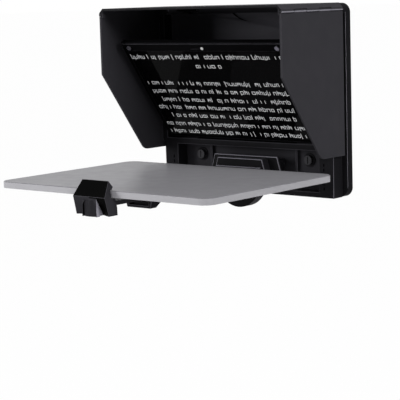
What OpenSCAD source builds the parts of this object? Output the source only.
// Folding teleprompter that hangs on a camera lens: a shallow frame with a hood, a sloping beam-splitter
// glass and a sprung holder that carries a tablet under the glass.
// The origin is on the lens axis at the mouth of the lens ring. +Y points back to the camera, +Z up and
// +X to the right of someone who stands in front.

/* [Front box] */
// Width of the front box
box_w = 205; // [200:1:212]
// Height of the front box
box_h = 171.7; // [170:0.1:175]
// Depth of the front box, from its face to the rim
box_d = 14.25; // [13.5:0.25:15]
// Wall of the box beside the carrier bay
bay_wall = 3.2; // [2.6:0.1:4]
// Height of the lens axis above the underside
lens_h = 105; // [102:0.5:107]
// Height of the sill under the glass, above the underside
sill_h = 49.3; // [48.5:0.1:50.5]
// Thickness of the sill
sill_t = 3; // [2:0.5:3.5]
// Depth of the hinge pocket behind the sill
pocket_h = 4.6; // [4.4:0.1:4.8]
// Height of the top rail
top_rail_h = 26; // [24:0.1:28]
// Setback of the top rail behind the front face
top_rail_back = 11; // [10.8:0.1:11.2]
// Width of the finger notch at the top edge of the top rail
notch_w = 42; // [30:1:50]
// Depth of the finger notch below the top edge
notch_h = 8.2; // [6:0.2:11]
// Depth of the finger notch into the rail
notch_d = 2.6; // [1.5:0.1:2.6]
// Width of the lower recess
recess_w = 172; // [166:1:176]
// Height of the lower recess above the underside
recess_z = 5; // [4.5:0.5:6]
// Height of the lower recess
recess_h = 38.5; // [37:0.5:38.5]
// Thickness of the cheek that each flap rests on
cheek_t = 3.4; // [2.6:0.1:3.8]
// Height of the cheeks
cheek_h = 123; // [110:1:124]
// Number of grip slots in each lower corner
slot_count = 6; // [3:1:7]

/* [Rear shell and lens ring] */
// Height of the rim above the box
rim_rise = 7.3; // [6.5:0.1:9]
// Depth of the rim
rim_d = 8; // [7.5:0.5:10]
// Corner radius of the rim
rim_r = 9; // [5:0.5:12]
// Back wall of the rear shell
shell_wall = 2.5; // [2:0.1:3]
// Width of the ledge that the front box seats on
ledge_w = 9; // [8.5:0.5:10]
// Thickness of the back cover
cover_t = 2.5; // [2:0.1:3.5]
// Margin between the back cover and the rim's edge
cover_margin = 9; // [6:0.5:12]
// Bore of the lens ring
lens_bore_r = 43; // [36:0.5:45]
// Wall of the lens ring
ring_wall = 5; // [4:0.5:6]
// How far the lens ring stands out behind the back cover
ring_out = 8.5; // [8.2:0.1:11]
// Thickness of the lens ring's flange
flange_t = 3; // [2:0.5:3]
// Width of the lens ring's flange
flange_w = 10; // [9:0.5:12]
// Lip of the light seal inside the lens bore
seal_lip = 4.5; // [3:0.5:6]

/* [Hood] */
// Length of the roof in front of its hinge
roof_reach = 92.1; // [88:0.1:98]
// Thickness of the roof
roof_t = 2; // [1.6:0.1:2.4]
// Chamfer along both sides of the roof
roof_chamfer = 4; // [3.6:0.1:5]
// Thickness of the flaps
flap_t = 2; // [2:0.1:2.6]
// Length of the plumb front edge of a flap
flap_front_h = 55; // [40:1:62]
// Foot of a flap above the underside
flap_foot = 39.6; // [37:0.2:44]
// Distance of a flap's toe in front of the box
flap_toe = 26.6; // [15:0.1:32]
// Radius of a flap's toe
toe_r = 10; // [4:0.5:14]
// Radius of the flap hinge knuckles
knuckle_r = 1.4; // [1.3:0.05:1.6]
// Radius of the flap hinge pins
flap_pin_r = 0.7; // [0.5:0.05:0.8]
// Radius of the roof hinge pins
roof_pin_r = 1.25; // [1:0.05:1.4]
// Distance of the roof hinge pairs from the middle
roof_hinge_x = 76; // [60:1:84]

/* [Glass carrier] */
// Angle of the glass above the horizontal
glass_angle = 54.4; // [52:0.1:57]
// Length of the carrier from its hinge to its top edge
carrier_len = 122.9; // [118:0.1:123.5]
// Thickness of the carrier
carrier_t = 5; // [4.6:0.1:5]
// Width of the carrier's side rails beside the glass
side_rail = 4; // [3:0.5:6]
// Thickness of the glass
glass_t = 3; // [2:0.1:3.2]
// Height of the bar that clamps the top of the glass
bar_h = 8.5; // [8:0.5:12]
// Thickness of the bar
bar_t = 1.6; // [1.2:0.1:2]
// Distance of the bar's screws from the ends of the carrier
bar_screw_in = 9.7; // [6:0.1:24]
// Radius of the carrier's hinge pins
glass_pin_r = 1.25; // [1:0.05:1.4]

/* [Tablet] */
// Width of the tablet
tablet_w = 247.6; // [230:0.2:260]
// Depth of the tablet
tablet_d = 178.5; // [168:0.5:185]
// Thickness of the tablet
tablet_t = 6; // [5:0.1:7]
// Corner radius of the tablet
tablet_r = 11; // [6:0.5:16]
// Thickness of the tablet's cover glass
screen_t = 0.7; // [0.5:0.1:1]
// Tablet's back edge in front of the box
tablet_gap = 28.55; // [27:0.05:32]
// Tablet's back edge below the lens axis
tablet_drop = 77.8; // [77:0.1:80]

/* [Holder] */
// Front of the round-bottomed base, in front of the box
base_out = 13; // [12:0.2:14]
// Thickness of the base
base_t = 10.8; // [10.4:0.1:11.4]
// Radius of the base
base_r = 27.1; // [26:0.1:30]
// Centre of the base below the tablet
base_down = 13; // [10:0.2:16]
// Depth of the nose that joins the base to the frame
nose_d = 10.2; // [9:0.2:11]
// Width of the nose along its top
nose_w = 53.8; // [50:0.2:60]
// Top of the nose, above the tablet
nose_top = 6.6; // [5:0.2:7.4]
// Width of the plate behind the nose, along its top
seat_w = 76.2; // [73:0.2:78]
// Top of the plate behind the nose, above the tablet
seat_top = 8.6; // [7.6:0.2:10]
// Width of the arm's rail
rail_w = 28; // [26:0.5:32]
// Height of the arm's rail
rail_h = 7.6; // [7.2:0.1:8.6]
// Width of the slide bar
bar_w = 17.4; // [14:0.2:18]
// Length of the slide bar
slide_l = 143; // [130:1:150]
// Thickness of the slide bar
bar_d = 3.8; // [3.4:0.1:4]
// Distance of the collar's front behind the tablet's front edge
collar_back = 52.4; // [48:0.2:58]
// Height of the collar below the rail
collar_drop = 5.9; // [4:0.1:8]
// Travel of the front clamp
clamp_travel = 30; // [20:1:32]
// Width of the rear jaw
jaw_w = 48; // [44:1:56]
// Distance of the lock knobs from the sides of the recess
knob_in = 20.5; // [12:0.5:22]
// Height of the lock knobs above the underside
knob_z = 32.9; // [28:0.1:34]
// Radius of the lock knobs
knob_r = 4.6; // [4:0.1:5.5]
// Radius of the hole in the tripod bush (1/4 inch thread)
bush_hole_r = 2.55; // [2.5:0.05:2.7]

/* [Front clamp] */
// Height of the clamp above the tablet
clamp_top = 8.2; // [6:0.2:10]
// How far the clamp's lip covers the tablet
lip_over = 2.8; // [2:0.2:4]
// Height of the lip's tip above its root
lip_t = 2.4; // [2:0.1:3.5]
// Reach of the clamp's brow in front of the tablet
brow_out = 10.1; // [9.6:0.1:13]
// Brow of the clamp below the tablet's top
brow_drop = 5.2; // [3:0.1:6]
// Foot of the clamp below the tablet's top
foot_drop = 21.6; // [20.5:0.1:24]
// Width of the clamp's top edge
clamp_top_w = 31; // [28:0.5:34]
// Width of the clamp's brow
clamp_brow_w = 37.5; // [35:0.5:40]
// Width of the clamp's foot
clamp_foot_w = 38.8; // [36:0.2:40]
// Width of the plumb tongue on the clamp's face
tongue_w = 17; // [16:0.5:19]
// Depth of the flutes beside the tongue
flute_d = 4.4; // [2:0.2:5]

/* [Fits] */
// Radial clearance of a pin that turns
run_gap = 0.05; // [0.02:0.01:0.08]
// Radial clearance of a pressed pin or a screw
press_gap = 0.02; // [0.01:0.01:0.04]
// Gap between flat pieces that slide past each other
slide_gap = 0.3; // [0.2:0.05:0.5]
// Gap between hinge knuckles
hinge_gap = 0.4; // [0.3:0.05:0.5]
// Thickness of the rubber pads
pad_t = 1; // [0.8:0.1:1.4]

/* [Hidden] */
$fn = 48;
far = 400;
cut = 1;

// Heights
z_bot = -lens_h;
z_top = z_bot + box_h;
z_rim = z_top + rim_rise;
z_sill = z_bot + sill_h;
z_pocket = z_sill - pocket_h;
z_rail = z_top - top_rail_h;
z_rec = z_bot + recess_z;
z_rec_top = z_rec + recess_h;

// Depths, from the mouth of the lens ring to the front
y_cover = -ring_out;
y_shell = y_cover - cover_t;
y_rim = y_shell - rim_d;
y_front = y_rim - box_d;
y_rail = y_front + top_rail_back;

// Widths, from the middle
x_box = box_w / 2;
x_bay = x_box - bay_wall;
x_cheek = x_box + cheek_t;
x_flap = x_cheek + hinge_gap;
x_out = x_flap + flap_t;
x_hinge = x_flap + flap_t / 2;

// Cheeks and their magnets
cheek_back = 9;
z_cheek_top = z_top - 2.5;
z_cheek = z_cheek_top - cheek_h;
y_magnet = y_front + 4;
magnet_r = 3;
magnet_t = 2;
keeper_t = 1;
magnet_low = 18;
magnet_high = 15;
magnet_z = [z_cheek + magnet_low, z_cheek_top - magnet_high];

// Roof hinge and roof, from the roof's axis
roof_up = 2.4;
roof_tail = 1.2;
roof_top = roof_up + roof_t;
roof_knuckle_r = 2.1;
lug_w = 8;
y_roof = y_front + 9.2;
z_roof = z_top + 3.3;

// Flap hinges, from the roof's axis
flap_axis = roof_top - roof_chamfer - hinge_gap - knuckle_r;
flap_top = flap_axis - knuckle_r - hinge_gap;
hinge_y0 = -roof_reach;
hinge_y1 = 1.1;
segments = 5;
segment_l = (hinge_y1 - hinge_y0) / segments;

// Carrier hinge
x_car = x_bay - 0.8;
y_glass = y_front + 8.5;
z_glass = z_sill - 1.7;
barrel_r = 2.4;
pin_in = 7;
x_pane = x_car - side_rail;
pane_z0 = 6.2;
bar_z0 = carrier_len - bar_h;
pane_z1 = bar_z0 + 1.8;
pane_lip = 4;
bar_screw_z = bar_z0 + 3.8;
car_front = -carrier_t / 2;
catch_x = 2;
catch_r = 1.4;
catch_z = bar_z0 + 3.4;
bar_screw_x = x_car - bar_screw_in;
bumper_h = 0.8;
bumper_w = 20;
bumper_set = 1;
bumper_in = 28.5;
bumper_x = x_car - bumper_in;

// Arm, from the middle of the tablet's top back edge
y_tab = y_front - tablet_gap;
z_tab = -tablet_drop;
y_base = y_front - base_out;
z_base = z_tab - base_down;
y_bush = y_base + base_t / 2;
y_nose = y_front - nose_d;
rest_gap = 0.2;
shelf_z = -tablet_t - rest_gap - pad_t;
shelf_t = 2;
rail_top = shelf_z - shelf_t;
rail_bot = rail_top - rail_h;
bar_z = rail_top - rail_h / 2;
slot_w = bar_w + 2 * slide_gap;
slot_d = bar_d + 2 * slide_gap;
y_edge = -tablet_d;
arm_end = tablet_gap - base_out;
y_collar = y_edge + collar_back;
collar_nose = 7.5;
y_rail_end = y_collar + collar_nose;
bar_y0 = y_edge - 3.4;
bar_y1 = bar_y0 + slide_l;
stop_r = 1.5;
stop_y = bar_y1 - 4;
channel_y1 = bar_y1 + clamp_travel;
jaw_y = slide_gap + 1.5;
jaw_top = -1.5;
jaw_front = -14;
throat = y_edge - slide_gap - 1.5;
jaw_screw_x = (rail_w + slot_w) / 4;
jaw_screw_y = 9;
clamp_screw_x = 4.5;
foot_out = 5.8;
clamp_back = 4.8;
pad_back = 3;
clamp_screw_y = y_edge + 0.6;
clamp_front = y_edge - brow_out;
clamp_lean = atan((brow_out - foot_out) / (foot_drop - brow_drop));

// Clamp spring
spring_turns = 12;
spring_r = 1.3;
wire_r = 0.3;
spring_y0 = bar_y1 + 1;
spring_y1 = channel_y1 - 1;
turn_steps = 8;
wire_sides = 6;
spring_steps = spring_turns * turn_steps;

// Lower panel, knobs and bush
shell_floor = 3;
panel_t = 2;
washer_t = 0.8;
washer_r = 6.5;
knob_t = 2.8;
stem_r = 2;
boss_r = 5;
knob_x = recess_w / 2 - knob_in;
z_knob = z_bot + knob_z;
bush_r = 4.5;
bush_l = 10;
bush_in = 0.3;
spine_w = 72;
spine_gap = 2;
holder_screw_x = 28;
holder_screw_l = 8;
holder_screw_z = [z_rec + 9, z_rec + 21];

// Lens lock screw
lock_angle = -50;
lock_r = 1.5;
lock_knob_r = 4.6;
lock_knob_l = 8;
y_lock = y_cover + lock_knob_r + slide_gap;

ring_r = lens_bore_r + ring_wall;
flange_r = ring_r + flange_w;
ring_screw_pcr = ring_r + flange_w / 2;
ring_screw_angles = [30, 120, 210, 300];
x_lock_boss = flange_r + slide_gap;
ring_front = y_shell - shell_wall - 0.5;
seal_t = 2.5;
screw_r = 1.2;
head_r = 2.4;
cover_screw_in = 8;
cover_screw_end = 17;

black = "#1c1c1e";
dark = "#101012";
grey = "#3a3a3d";
steel = "#9a9a9e";

// Shared shapes

module block(lo, hi) {
    translate(lo) cube(hi - lo);
}

module xcyl(r, x0, x1) {
    translate([x0, 0, 0]) rotate([0, 90, 0]) cylinder(r = r, h = x1 - x0);
}

module ycyl(r, y0, y1) {
    translate([0, y0, 0]) rotate([-90, 0, 0]) cylinder(r = r, h = y1 - y0);
}

module zcyl(r, z0, z1) {
    translate([0, 0, z0]) cylinder(r = r, h = z1 - z0);
}

module both_sides() {
    children();
    mirror([1, 0, 0]) children();
}

// An outline in X and Z, given depth from y0 to y1
module xz_plate(y0, y1) {
    translate([0, y1, 0]) rotate([90, 0, 0]) linear_extrude(y1 - y0) children();
}

// An outline in Y and Z, given width from x0 to x1
module yz_plate(x0, x1) {
    translate([x0, 0, 0]) rotate([90, 0, 90]) linear_extrude(x1 - x0) children();
}

module rounded_rect(lo, hi, r) {
    translate([lo.x + r, lo.y]) square([hi.x - lo.x - 2 * r, hi.y - lo.y]);
    translate([lo.x, lo.y + r]) square([hi.x - lo.x, hi.y - lo.y - 2 * r]);
    for (x = [lo.x + r, hi.x - r], y = [lo.y + r, hi.y - r]) translate([x, y]) circle(r);
}

function unit(v) = v / norm(v);

// Points of a round corner of radius r at b, between the lines to a and to c
function round_corner(a, b, c, r, n = 8) =
    let (
        u = unit(a - b),
        v = unit(c - b),
        half = acos(u * v) / 2,
        o = b + unit(u + v) * r / sin(half),
        p = b + u * r / tan(half),
        q = b + v * r / tan(half),
        a0 = atan2(p.y - o.y, p.x - o.x),
        turn = (atan2(q.y - o.y, q.x - o.x) - a0 + 540) % 360 - 180
    )
    [for (i = [0:n]) o + r * [cos(a0 + turn * i / n), sin(a0 + turn * i / n)]];

// The frames of the hood, the sloping glass carrier and the arm

module at_roof() {
    translate([0, y_roof, z_roof]) children();
}

module at_glass() {
    translate([0, y_glass, z_glass]) rotate([90 - glass_angle, 0, 0]) children();
}

module at_arm() {
    translate([0, y_tab, z_tab]) children();
}

module at_lock() {
    translate([0, y_lock, 0]) rotate([0, lock_angle, 0]) children();
}

// Frame

module grip_slots() {
    slot_x = recess_w / 2 + 5.5;
    slot_pitch = 4.4;
    slot_size = [1.4, 1.5, 3];
    slot_z0 = z_bot + 7;
    for (i = [0:slot_count - 1])
        translate([slot_x, y_front, slot_z0 + i * slot_pitch])
            block([-slot_size.x / 2, -cut, 0], [slot_size.x / 2, slot_size.y, slot_size.z]);
}

// A hinge lug on a ledge that reaches forward from the top rail
module roof_lug() {
    lug_base = 1.9;
    ledge_t = 1.6;
    x0 = roof_hinge_x - lug_w / 2;
    x1 = roof_hinge_x + lug_w / 2;
    translate([0, y_roof, z_roof]) {
        xcyl(roof_knuckle_r, x0, x1);
        block([x0, -lug_base, z_top - z_roof], [x1, lug_base, 0]);
    }
    block([x0, y_roof - lug_base, z_top], [x1, y_rim, z_top + ledge_t]);
    block([x0, y_rail, z_top - cut], [x1, y_rim, z_top + ledge_t]);
}

// The box with its carrier bay, hinge pocket and lower recess
module open_box() {
    leg_wall = 3;
    notch_r = (pow(notch_w / 2, 2) + pow(notch_h, 2)) / (2 * notch_h);
    difference() {
        block([-x_box, y_front, z_bot], [x_box, y_rim, z_top]);
        block([-x_bay, y_front - cut, z_sill], [x_bay, y_rail, z_top + cut]);
        block([-x_bay, y_rail - cut, z_sill], [x_bay, y_rim + cut, z_rail]);
        block([-x_bay, y_front + sill_t, z_pocket], [x_bay, y_rim + cut, z_sill + cut]);
        block([-recess_w / 2, y_front - cut, z_rec], [recess_w / 2, y_rim + cut, z_rec_top]);
        translate([0, 0, z_top - notch_h + notch_r]) ycyl(notch_r, y_rail - cut, y_rail + notch_d);
        both_sides() {
            block([recess_w / 2 + leg_wall, y_front + leg_wall, z_bot + leg_wall],
                [x_box - leg_wall, y_rim + cut, z_pocket - leg_wall]);
            grip_slots();
        }
    }
}

module front_frame() color(black) difference() {
    pin_wall = 0.6;
    union() {
        open_box();
        both_sides() {
            block([x_box - cut, y_front, z_cheek], [x_cheek, y_front + cheek_back, z_cheek_top]);
            roof_lug();
        }
    }
    both_sides() {
        translate([0, y_glass, z_glass]) xcyl(glass_pin_r + press_gap, x_bay - cut, x_box - pin_wall);
        translate([0, y_roof, z_roof]) xcyl(roof_pin_r + press_gap, 0, x_box);
        for (z = magnet_z)
            translate([0, y_magnet, z]) xcyl(magnet_r + press_gap, x_cheek - magnet_t, x_cheek + cut);
    }
}

function cover_screw_places() =
    let (
        x = x_out - cover_margin - cover_screw_in,
        z0 = z_bot + cover_screw_end,
        z1 = z_rim - cover_screw_end
    )
    [for (s = [-1, 1], z = [z0, (z0 + z1) / 2, z1]) [s * x, z]];

module rear_shell() color(black) difference() {
    boss = 3.5;
    shell_brow = 12;
    union() {
        difference() {
            xz_plate(y_rim, y_shell) rounded_rect([-x_out, z_bot], [x_out, z_rim], rim_r);
            block([-x_out + ledge_w, y_rim - cut, z_bot + shell_floor],
                [x_out - ledge_w, y_shell - shell_wall, z_rim - shell_brow]);
        }
        for (s = [-1, 1])
            translate([s * knob_x, 0, z_knob]) ycyl(boss_r, y_rim + panel_t, y_shell - cut);
        for (p = cover_screw_places())
            translate([p.x, 0, p.y]) ycyl(boss, y_rim + panel_t + slide_gap, y_shell - cut);
    }
    ycyl(ring_r + hinge_gap, y_rim - cut, y_shell + cut);
    for (s = [-1, 1])
        translate([s * knob_x, 0, z_knob]) ycyl(stem_r + run_gap, y_rim, y_shell - 0.6);
    for (p = cover_screw_places())
        translate([p.x, 0, p.y]) ycyl(screw_r + press_gap, y_rim + panel_t + 1, y_shell + cut);
}

module back_cover() color(dark) difference() {
    cover_r = 6;
    xz_plate(y_shell, y_cover) rounded_rect(
        [-x_out + cover_margin, z_bot + cover_margin],
        [x_out - cover_margin, z_rim - cover_margin],
        cover_r);
    ycyl(ring_r + hinge_gap, y_shell - cut, y_cover + cut);
    for (p = cover_screw_places())
        translate([p.x, 0, p.y]) ycyl(screw_r + press_gap, y_shell - cut, y_cover + cut);
    for (a = ring_screw_angles) rotate([0, a, 0]) translate([0, 0, ring_screw_pcr])
        ycyl(screw_r + press_gap, y_shell - cut, y_cover + cut);
}

module cover_screws() color(steel) {
    for (p = cover_screw_places()) translate([p.x, 0, p.y]) {
        ycyl(screw_r, y_rim + panel_t + 2, y_cover);
        ycyl(head_r, y_cover, y_cover + 1.4);
    }
}

module lens_ring() color(grey) difference() {
    lock_boss_r = 3.2;
    union() {
        ycyl(ring_r, ring_front, 0);
        ycyl(flange_r, y_cover, y_cover + flange_t);
        at_lock() zcyl(lock_boss_r, lens_bore_r + 1, x_lock_boss);
    }
    ycyl(lens_bore_r, ring_front - cut, cut);
    at_lock() zcyl(lock_r + run_gap, lens_bore_r - cut, x_lock_boss + cut);
    for (a = ring_screw_angles) rotate([0, a, 0]) translate([0, 0, ring_screw_pcr])
        ycyl(screw_r + press_gap, y_cover - cut, y_cover + flange_t + cut);
}

module ring_screws() color(steel) {
    for (a = ring_screw_angles) rotate([0, a, 0]) translate([0, 0, ring_screw_pcr]) {
        ycyl(screw_r, y_shell + 0.2, y_cover + flange_t);
        ycyl(head_r, y_cover + flange_t, y_cover + flange_t + 1.4);
    }
}

module light_seal() color(dark) difference() {
    ycyl(ring_r - 0.5, ring_front - seal_t, ring_front);
    ycyl(lens_bore_r - seal_lip, ring_front - seal_t - cut, ring_front + cut);
}

module lens_lock_screw() color(steel) at_lock() {
    flutes = 12;
    knob_z0 = x_lock_boss + hinge_gap;
    zcyl(lock_r, lens_bore_r + 0.3, knob_z0 + 0.1);
    difference() {
        zcyl(lock_knob_r, knob_z0, knob_z0 + lock_knob_l);
        for (i = [0:flutes - 1]) rotate(i * 360 / flutes)
            translate([lock_knob_r + 0.4, 0, 0]) zcyl(1, knob_z0 - cut, knob_z0 + lock_knob_l + cut);
    }
}

module flap_magnets() color(steel) both_sides() {
    for (z = magnet_z) translate([0, y_magnet, z]) xcyl(magnet_r, x_cheek - magnet_t, x_cheek);
}

module glass_pins() color(steel) both_sides() {
    translate([0, y_glass, z_glass]) xcyl(glass_pin_r, x_car - pin_in, x_box - 0.8);
}

module roof_pins() color(steel) both_sides() {
    pin_l = 3 * lug_w;
    translate([0, y_roof, z_roof]) xcyl(roof_pin_r, roof_hinge_x - pin_l / 2, roof_hinge_x + pin_l / 2);
}

module glass_bumpers() color(dark) both_sides() {
    block([bumper_x - bumper_w / 2, y_front + bumper_set, z_sill],
        [bumper_x + bumper_w / 2, y_front + sill_t, z_sill + bumper_h]);
}

// Lower panel and holder base

module lower_panel() color(grey) {
    rib_x = 52;
    rib = [2.5, 3];
    margin = 4;
    difference() {
        union() {
            block([-recess_w / 2 - margin, y_rim, z_bot + shell_floor + slide_gap],
                [recess_w / 2 + margin, y_rim + panel_t, z_rec_top + 0.8]);
            both_sides() block([rib_x - rib.x / 2, y_rim - rib.y, z_rec + slide_gap],
                [rib_x + rib.x / 2, y_rim + cut, z_rec_top - slide_gap]);
        }
        for (s = [-1, 1]) {
            translate([s * knob_x, 0, z_knob]) ycyl(stem_r + run_gap, y_rim - cut, y_rim + panel_t + cut);
            for (z = holder_screw_z) translate([s * holder_screw_x, 0, z])
                ycyl(screw_r + press_gap, y_rim - cut, y_rim + panel_t + cut);
        }
    }
}

module knob_washers() color(dark) {
    for (s = [-1, 1]) translate([s * knob_x, 0, z_knob]) difference() {
        ycyl(washer_r, y_rim - washer_t, y_rim);
        ycyl(stem_r + hinge_gap, y_rim - washer_t - cut, y_rim + cut);
    }
}

module lock_knob(side) {
    flutes = 14;
    flute_r = 0.5;
    y1 = y_rim - washer_t - 0.05;
    translate([side * knob_x, 0, z_knob]) {
        difference() {
            ycyl(knob_r, y1 - knob_t, y1);
            for (i = [0:flutes - 1]) rotate([0, i * 360 / flutes, 0])
                translate([0, 0, knob_r]) ycyl(flute_r, y1 - knob_t - cut, y1 + cut);
            block([-0.5, y1 - knob_t - cut, -knob_r * 0.7], [0.5, y1 - knob_t + 0.8, knob_r * 0.7]);
        }
        ycyl(stem_r, y1 - 0.1, y_shell - 1);
    }
}

module lock_knob_left() color(grey) lock_knob(-1);

module lock_knob_right() color(grey) lock_knob(1);

// A plate that widens downwards, w wide at its top
module leaning_plate(w, top, low, y0, y1) {
    lean = 0.3;
    foot = w / 2 + lean * (top - low);
    xz_plate(y0, y1) polygon([[-w / 2, top], [w / 2, top], [foot, low], [-foot, low]]);
}

// The round-bottomed base, the nose and plate that join it to the frame, and the spine in the recess
module holder_base() color(black) {
    nose_low = z_tab - 14;
    base_top = z_tab - 1;
    seat = [1, 1.5];
    screw_end = 1;
    difference() {
        union() {
            intersection() {
                translate([0, 0, z_base]) ycyl(base_r, y_base, y_base + base_t);
                block([-base_r, y_base, z_base - base_r], [base_r, y_base + base_t, z_base + cut]);
            }
            block([-base_r, y_base, z_base], [base_r, y_base + base_t, base_top]);
            leaning_plate(nose_w, z_tab + nose_top, nose_low, y_nose, y_front);
            leaning_plate(seat_w, z_tab + seat_top, nose_low, y_front - seat[0], y_front + seat[1]);
            block([-spine_w / 2, y_front - seat[0], z_rec + spine_gap],
                [spine_w / 2, y_rim, z_tab + nose_top - cut]);
        }
        translate([0, y_bush, 0])
            zcyl(bush_r + press_gap, z_base - base_r - cut, z_base - base_r + bush_in + bush_l);
        for (s = [-1, 1], z = holder_screw_z) translate([s * holder_screw_x, 0, z])
            ycyl(screw_r + press_gap, y_rim - holder_screw_l - screw_end, y_rim + cut);
    }
}

module holder_screws() color(steel) {
    for (s = [-1, 1], z = holder_screw_z) translate([s * holder_screw_x, 0, z]) {
        ycyl(screw_r, y_rim - holder_screw_l, y_rim + panel_t);
        ycyl(head_r, y_rim + panel_t, y_rim + panel_t + 1.4);
    }
}

module tripod_bush() color("#b08d57") {
    translate([0, y_bush, z_base - base_r + bush_in]) difference() {
        zcyl(bush_r, 0, bush_l);
        zcyl(bush_hole_r, -cut, bush_l + cut);
    }
}

// Arm

module arm_rail() color(black) at_arm() difference() {
    block([-rail_w / 2, y_rail_end, rail_bot], [rail_w / 2, arm_end, rail_top]);
    block([-slot_w / 2, y_rail_end - cut, bar_z - slot_d / 2], [slot_w / 2, channel_y1, bar_z + slot_d / 2]);
    block([-stop_r - slide_gap, stop_y - clamp_travel - stop_r - slide_gap, bar_z],
        [stop_r + slide_gap, stop_y + stop_r + slide_gap, rail_top + cut]);
    for (s = [-1, 1])
        translate([s * jaw_screw_x, jaw_screw_y, 0]) zcyl(screw_r + press_gap, rail_bot + 1, rail_top + cut);
}

module arm_collar() color(black) at_arm() difference() {
    top_w = rail_w + 6;
    low = rail_bot - collar_drop;
    mouth_wall = 2.5;
    toe = 8;
    intersection() {
        xz_plate(y_collar, y_collar + 3 * collar_nose)
            polygon([[-rail_w / 2, low], [rail_w / 2, low], [top_w / 2, rail_top], [-top_w / 2, rail_top]]);
        yz_plate(-top_w, top_w)
            polygon([[y_collar, low], [y_collar + toe, low], [y_collar + 2 * collar_nose, rail_bot],
                [y_collar + 2 * collar_nose, rail_top], [y_collar, rail_top]]);
    }
    block([-rail_w / 2, y_rail_end, rail_bot], [rail_w / 2, y_collar + 3 * collar_nose, rail_top + cut]);
    block([-slot_w / 2, y_collar - cut, bar_z - slot_d / 2],
        [slot_w / 2, y_rail_end + cut, bar_z + slot_d / 2]);
    block([-rail_w / 2 + mouth_wall, y_collar - cut, low + mouth_wall],
        [rail_w / 2 - mouth_wall, y_collar + collar_nose / 2, bar_z + slot_d / 2]);
}

module rear_jaw() color(black) at_arm() difference() {
    union() {
        block([-jaw_w / 2, jaw_y, rail_bot], [jaw_w / 2, arm_end, jaw_top]);
        block([-jaw_w / 2, jaw_front, rail_bot], [jaw_w / 2, jaw_y + cut, shelf_z]);
    }
    block([-rail_w / 2, jaw_front - cut, rail_bot - cut], [rail_w / 2, far, rail_top]);
    for (s = [-1, 1]) translate([s * jaw_screw_x, jaw_screw_y, 0]) {
        zcyl(screw_r + press_gap, rail_top - cut, jaw_top + cut);
        zcyl(head_r + hinge_gap, jaw_top - 1.5, jaw_top + cut);
    }
}

module rear_pad() color(dark) at_arm() {
    pad_w = jaw_w - 4;
    block([-pad_w / 2, slide_gap, shelf_z], [pad_w / 2, jaw_y, jaw_top - 0.3]);
    block([-pad_w / 2, jaw_front + 2, shelf_z], [pad_w / 2, jaw_y, shelf_z + pad_t]);
}

module jaw_screws() color(steel) at_arm() for (s = [-1, 1]) translate([s * jaw_screw_x, jaw_screw_y, 0]) {
    zcyl(screw_r, rail_bot + 2, jaw_top - 1.5);
    zcyl(head_r, jaw_top - 1.5, jaw_top - 0.3);
}

// Coil spring along the channel, one tube swept round a helix
function wire_point(i, k) =
    let (a = i * 360 / turn_steps, b = k * 360 / wire_sides, r = spring_r + wire_r * cos(b))
    [r * cos(a), spring_y0 + (spring_y1 - spring_y0) * i / spring_steps + wire_r * sin(b), r * sin(a)];

module clamp_spring() color(steel) at_arm() translate([0, 0, bar_z]) polyhedron(
    points = [for (i = [0:spring_steps], k = [0:wire_sides - 1]) wire_point(i, k)],
    faces = concat(
        [[for (k = [0:wire_sides - 1]) k]],
        [for (i = [0:spring_steps - 1], k = [0:wire_sides - 1])
            let (a = i * wire_sides + k, b = i * wire_sides + (k + 1) % wire_sides) [a, a + wire_sides, b]],
        [for (i = [0:spring_steps - 1], k = [0:wire_sides - 1])
            let (a = i * wire_sides + k, b = i * wire_sides + (k + 1) % wire_sides)
            [b, a + wire_sides, b + wire_sides]],
        [[for (k = [wire_sides - 1:-1:0]) spring_steps * wire_sides + k]]
    )
);

// Front clamp

module slide_bar() color(steel) at_arm() difference() {
    block([-bar_w / 2, bar_y0, bar_z - bar_d / 2], [bar_w / 2, bar_y1, bar_z + bar_d / 2]);
    translate([0, stop_y, 0]) zcyl(stop_r + press_gap, bar_z, bar_z + bar_d);
    for (s = [-1, 1]) translate([s * clamp_screw_x, clamp_screw_y, 0])
        zcyl(screw_r + press_gap, bar_z - bar_d, bar_z + bar_d);
}

module stop_pin() color(steel) at_arm() translate([0, stop_y, 0]) zcyl(stop_r, bar_z, rail_top - slide_gap);

// Flute beside the tongue, deepest at the tongue's foot and shallow at the clamp's side
module clamp_flute() {
    land = 0.8;
    start = -brow_drop - 0.8;
    reach = 3;
    x0 = tongue_w / 2;
    x1 = clamp_foot_w / 2 - land;
    intersection() {
        yz_plate(x0, x1 + far) polygon([
            [clamp_front, start],
            [y_edge - foot_out + flute_d, -foot_drop],
            [y_edge - foot_out + flute_d, -foot_drop - cut],
            [clamp_front - cut, -foot_drop - cut],
            [clamp_front - cut, start]
        ]);
        translate([0, clamp_front, -brow_drop]) rotate([clamp_lean, 0, 0]) translate([0, 0, -far])
            linear_extrude(2 * far) polygon([
                [x0, flute_d], [x0, -reach], [x1 + (x1 - x0) * reach / flute_d, -reach]
            ]);
    }
}

// Arched pocket in the tongue's face, with a round-faced tab left standing in it
module tab_pocket(y0) {
    rim = 0.7;
    sag = 1.8;
    arch_r = 5;
    top = -brow_drop - 3.1;
    half = tongue_w / 2 - rim;
    tab_r = (half * half + sag * sag) / (2 * sag);
    difference() {
        xz_plate(y0 - cut, y0 + sag) rounded_rect([-half, -foot_drop - tab_r], [half, top], arch_r);
        translate([0, y0 + tab_r, 0]) zcyl(tab_r, -foot_drop - 2 * tab_r, 0);
    }
}

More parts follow.
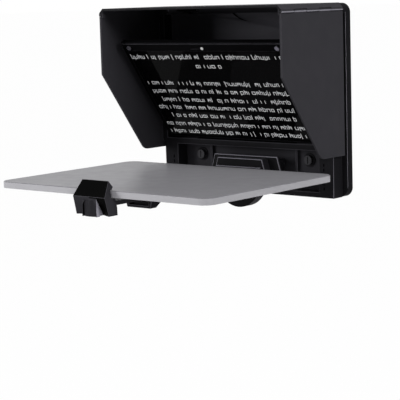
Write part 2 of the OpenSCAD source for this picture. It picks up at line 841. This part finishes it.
module clamp_body() color(black) at_arm() difference() {
    tip_out = 1;
    lip_root = 0.3;
    back = y_edge + clamp_back;
    mouth = rest_gap + slide_gap;
    tongue_in = 0.3;
    tongue_low = -foot_drop - 0.7;
    union() {
        intersection() {
            yz_plate(-clamp_foot_w, clamp_foot_w) polygon([
                [y_edge + lip_root, mouth],
                [y_edge + lip_over, mouth + lip_t],
                [y_edge - tip_out, clamp_top],
                [clamp_front, -brow_drop],
                [y_edge - foot_out, -foot_drop],
                [back, -foot_drop],
                [back, bar_z - bar_d / 2],
                [back - 1.5, shelf_z],
                [throat, shelf_z],
                [throat, mouth]
            ]);
            xz_plate(y_edge - 2 * brow_out, y_edge + 2 * brow_out) polygon([
                [-clamp_top_w / 2, clamp_top], [-clamp_brow_w / 2, -brow_drop],
                [-clamp_foot_w / 2, -foot_drop], [clamp_foot_w / 2, -foot_drop],
                [clamp_brow_w / 2, -brow_drop], [clamp_top_w / 2, clamp_top]
            ]);
        }
        block([-tongue_w / 2, clamp_front + tongue_in, tongue_low],
            [tongue_w / 2, y_edge - foot_out, -brow_drop - tongue_in]);
    }
    both_sides() clamp_flute();
    tab_pocket(clamp_front + tongue_in);
    block([-bar_w / 2, bar_y0, bar_z - bar_d / 2], [bar_w / 2, back + cut, bar_z + bar_d / 2]);
    for (s = [-1, 1]) translate([s * clamp_screw_x, clamp_screw_y, 0]) {
        zcyl(screw_r + press_gap, -foot_drop - cut, bar_z);
        zcyl(head_r + hinge_gap, -foot_drop - cut, -foot_drop + 2);
    }
}

module clamp_pad() color(dark) at_arm() {
    pad_w = 26;
    block([-pad_w / 2, throat, shelf_z], [pad_w / 2, y_edge - slide_gap, rest_gap]);
    block([-pad_w / 2, throat, shelf_z], [pad_w / 2, y_edge + pad_back, shelf_z + pad_t]);
}

module clamp_screws() color(steel) at_arm() {
    for (s = [-1, 1]) translate([s * clamp_screw_x, clamp_screw_y, 0]) {
        zcyl(screw_r, -foot_drop + 2, bar_z + bar_d / 4);
        zcyl(head_r, -foot_drop + 0.6, -foot_drop + 2);
    }
}

// Tablet

module tablet_body() color("#8f8f93") at_arm() {
    translate([0, 0, -tablet_t]) linear_extrude(tablet_t - screen_t)
        rounded_rect([-tablet_w / 2, -tablet_d], [tablet_w / 2, 0], tablet_r);
}

module tablet_screen() color("#808084") at_arm() translate([0, 0, -screen_t]) linear_extrude(screen_t) {
    edge = 0.6;
    rounded_rect([-tablet_w / 2 + edge, -tablet_d + edge], [tablet_w / 2 - edge, -edge], tablet_r - edge);
}

// Glass carrier

module glass_frame() color(black) at_glass() difference() {
    union() {
        block([-x_car, car_front, 0], [x_car, -car_front, carrier_len]);
        xcyl(barrel_r, -x_car, x_car);
    }
    block([-x_pane + pane_lip, car_front - cut, pane_z0 + pane_lip],
        [x_pane - pane_lip, -car_front + cut, pane_z1 - pane_lip]);
    block([-x_pane - 0.1, car_front - cut, pane_z0 - 0.1],
        [x_pane + 0.1, car_front + glass_t, pane_z1 + 0.1]);
    both_sides() {
        xcyl(glass_pin_r + run_gap, x_car - pin_in - 0.5, x_car + cut);
        translate([bar_screw_x, 0, bar_screw_z]) ycyl(screw_r + press_gap, car_front - cut, 1.4);
    }
}

module beam_splitter() color([0.2, 0.22, 0.24, 0.6]) at_glass()
    block([-x_pane, car_front, pane_z0], [x_pane, car_front + glass_t, pane_z1]);

module top_bar() color(black) at_glass() difference() {
    bar_half = x_car - 2;
    block([-bar_half, car_front - bar_t, bar_z0], [bar_half, car_front, carrier_len]);
    both_sides() translate([bar_screw_x, 0, bar_screw_z])
        ycyl(screw_r + press_gap, car_front - bar_t - cut, car_front + cut);
    translate([catch_x, 0, catch_z]) ycyl(catch_r + press_gap, car_front - bar_t - cut, car_front + cut);
    block([catch_x - 14, car_front - bar_t - cut, catch_z - 0.7],
        [catch_x - 3, car_front - bar_t + 0.6, catch_z + 0.7]);
}

module bar_screws() color(steel) at_glass() both_sides() translate([bar_screw_x, 0, bar_screw_z]) {
    ycyl(screw_r, car_front - bar_t, 1);
    ycyl(head_r, car_front - bar_t - 1, car_front - bar_t);
}

module glass_catch() color("#d8d8da") at_glass() translate([catch_x, 0, catch_z]) {
    ycyl(catch_r, car_front - bar_t - 0.6, car_front);
}

// Hood

// Knuckles number first, first + 2 and so on along a flap hinge, with their webs from web_z0 to web_z1
module knuckles(first, web_z0, web_z1) {
    for (i = [first:2:segments - 1]) {
        y0 = hinge_y0 + i * segment_l + (i == 0 ? 0 : hinge_gap / 2);
        y1 = hinge_y0 + (i + 1) * segment_l - (i == segments - 1 ? 0 : hinge_gap / 2);
        translate([x_hinge, 0, flap_axis]) ycyl(knuckle_r, y0, y1);
        block([x_flap, y0, web_z0], [x_out, y1, web_z1]);
    }
}

module hood_roof() color(black) at_roof() difference() {
    slant = roof_t * tan(22.5);
    x_flat = x_out - roof_chamfer;
    low = roof_top - roof_chamfer;
    web = 1.5;
    union() {
        xz_plate(-roof_reach, roof_tail) polygon([
            [x_out, low], [x_flat, roof_top], [-x_flat, roof_top], [-x_out, low],
            [-x_out + roof_t * sqrt(2), low], [-x_flat + slant, roof_up],
            [x_flat - slant, roof_up], [x_out - roof_t * sqrt(2), low]
        ]);
        both_sides() {
            knuckles(0, flap_axis, low + 0.1);
            for (s = [-1, 1]) translate([roof_hinge_x + s * (lug_w + hinge_gap), 0, 0]) {
                xcyl(roof_knuckle_r, -lug_w / 2, lug_w / 2);
                block([-lug_w / 2, -web, 0], [lug_w / 2, web, roof_up + 0.1]);
            }
        }
    }
    both_sides() {
        translate([x_hinge, 0, flap_axis]) ycyl(flap_pin_r + press_gap, hinge_y0 - cut, hinge_y1 + cut);
        xcyl(roof_pin_r + run_gap, 0, x_box);
    }
}

// Strips that close the view through the gaps of the flap hinges
module hinge_strips() color(dark) at_roof() both_sides() {
    strip_t = 0.8;
    strip_low = flap_top - 1.4;
    tail_low = -1.5;
    front_in = 0.3;
    x1 = x_out - roof_t * sqrt(2);
    low = roof_top - roof_chamfer;
    xz_plate(hinge_y0 + front_in, hinge_y1)
        polygon([[x1, low], [x1 - strip_t, low + strip_t], [x1 - strip_t, strip_low], [x1, strip_low]]);
    xz_plate(hinge_y1 - cut, y_rim - y_roof - 1.5 * hinge_gap)
        polygon([[x1, low], [x1 - strip_t, low + strip_t], [x1 - strip_t, tail_low], [x1, tail_low]]);
}

module flap_pins() color(steel) at_roof() both_sides() {
    translate([x_hinge, 0, flap_axis]) ycyl(flap_pin_r, hinge_y0 + 0.5, hinge_y1 - 0.3);
}

module hood_flap() {
    foot = z_bot + flap_foot - z_roof;
    toe = [y_front - flap_toe - y_roof, foot];
    lip_low = [-roof_reach, flap_top - flap_front_h];
    heel_low = [hinge_y1, foot];
    difference() {
        union() {
            yz_plate(x_flap, x_out) polygon(concat(
                [[-roof_reach, flap_top], lip_low],
                round_corner(lip_low, toe, heel_low, toe_r),
                [heel_low, [hinge_y1, flap_top]]
            ));
            knuckles(1, flap_top - cut, flap_axis);
        }
        translate([x_hinge, 0, flap_axis]) ycyl(flap_pin_r + run_gap, hinge_y0 - cut, hinge_y1 + cut);
        keepers(keeper_t, press_gap);
    }
}

module keepers(t, gap) {
    for (z = magnet_z) translate([0, y_magnet - y_roof, z - z_roof])
        xcyl(magnet_r + gap, x_flap - (gap > 0 ? cut : 0), x_flap + t);
}

module hood_flap_right() color(black) at_roof() hood_flap();

module hood_flap_left() color(black) at_roof() mirror([1, 0, 0]) hood_flap();

module keeper_right() color(steel) at_roof() keepers(keeper_t, 0);

module keeper_left() color(steel) at_roof() mirror([1, 0, 0]) keepers(keeper_t, 0);

front_frame();
rear_shell();
back_cover();
lens_ring();
light_seal();
cover_screws();
ring_screws();
lens_lock_screw();
lower_panel();
knob_washers();
lock_knob_left();
lock_knob_right();
holder_base();
holder_screws();
tripod_bush();
flap_magnets();
glass_pins();
glass_bumpers();
roof_pins();
arm_rail();
arm_collar();
rear_jaw();
rear_pad();
jaw_screws();
clamp_spring();
slide_bar();
stop_pin();
clamp_body();
clamp_pad();
clamp_screws();
tablet_body();
tablet_screen();
glass_frame();
beam_splitter();
top_bar();
bar_screws();
glass_catch();
hood_roof();
hinge_strips();
flap_pins();
hood_flap_left();
keeper_left();
hood_flap_right();
keeper_right();
